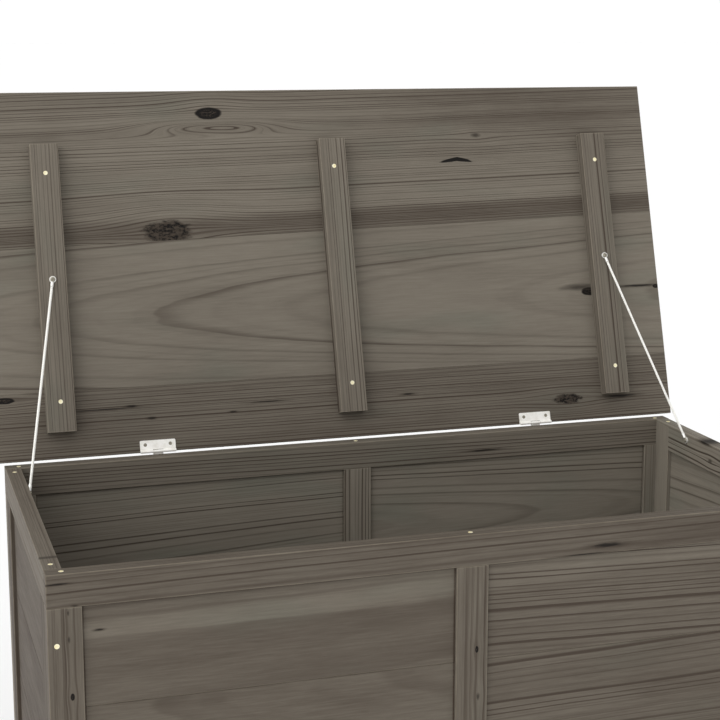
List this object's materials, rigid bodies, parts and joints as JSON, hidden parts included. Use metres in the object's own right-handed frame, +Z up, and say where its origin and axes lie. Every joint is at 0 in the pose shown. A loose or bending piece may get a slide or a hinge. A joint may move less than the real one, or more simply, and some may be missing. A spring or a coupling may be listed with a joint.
{
  "type": "hinged-lid wooden storage chest",
  "caption": "Rectangular framed-plank wooden chest with an overhanging boarded lid, held open on butt hinges by two cord stays.",
  "frame": {"origin": "on the floor, at the centre of the open chest's bounding box", "axes": "+Z up, the front of the chest faces -Y, +X along its width"},
  "size_m": [1, 0.626, 1.033],
  "materials": {
    "frame_wood": "grey-brown stain, satin",
    "planks": "grey-brown stain, satin",
    "lid_boards": "grey-brown stain, satin",
    "lid_battens": "grey-brown stain, satin",
    "floor_wood": "grey-brown stain, matt",
    "hinge_steel": "zinc plated, satin",
    "screw_steel": "pale yellow zinc plated",
    "stay_rings": "bright zinc plated",
    "cord": "white twisted cord"
  },
  "bodies": {
    "box": {"back_bottom_row": "planks", "back_centre_stile": "frame_wood", "back_left_stile": "frame_wood", "back_lower_row": "planks", "back_right_stile": "frame_wood", "back_sill": "frame_wood", "back_top_rail": "frame_wood", "back_top_row": "planks", "back_upper_row": "planks", "box_leaf_screws": "screw_steel", "box_stay_rings": "stay_rings", "box_stay_screws": "screw_steel", "cleat_screws": "screw_steel", "corner_screws": "screw_steel", "floor_boards": "floor_wood", "floor_cleats": "floor_wood", "front_bottom_row": "planks", "front_centre_stile": "frame_wood", "front_left_stile": "frame_wood", "front_lower_row": "planks", "front_right_stile": "frame_wood", "front_sill": "frame_wood", "front_top_rail": "frame_wood", "front_top_row": "planks", "front_upper_row": "planks", "left_bottom_row": "planks", "left_front_stile": "frame_wood", "left_hinge_box_leaf": "hinge_steel", "left_lower_row": "planks", "left_rear_stile": "frame_wood", "left_sill": "frame_wood", "left_stay_cord": "cord", "left_top_rail": "frame_wood", "left_top_row": "planks", "left_upper_row": "planks", "right_bottom_row": "planks", "right_front_stile": "frame_wood", "right_hinge_box_leaf": "hinge_steel", "right_lower_row": "planks", "right_rear_stile": "frame_wood", "right_sill": "frame_wood", "right_stay_cord": "cord", "right_top_rail": "frame_wood", "right_top_row": "planks", "right_upper_row": "planks", "rim_screws": "screw_steel"},
    "lid": {"lid_rear_board": "lid_boards", "lid_middle_board": "lid_boards", "lid_front_board": "lid_boards", "left_batten": "lid_battens", "centre_batten": "lid_battens", "right_batten": "lid_battens", "batten_screws": "screw_steel", "lid_leaf_screws": "screw_steel", "lid_stay_rings": "stay_rings", "lid_stay_screws": "screw_steel", "left_hinge_lid_leaf": "hinge_steel", "right_hinge_lid_leaf": "hinge_steel", "hinge_pins": "hinge_steel"}
  },
  "joints": [
    {"name": "lid_hinge", "type": "hinge", "parent": "box", "child": "lid", "pos_m": [0, 0.15403, 0.5524], "axis": [1, 0, 0], "range_deg": [0, 107.2], "deforming": ["left_stay_cord", "right_stay_cord"]}
  ]
}
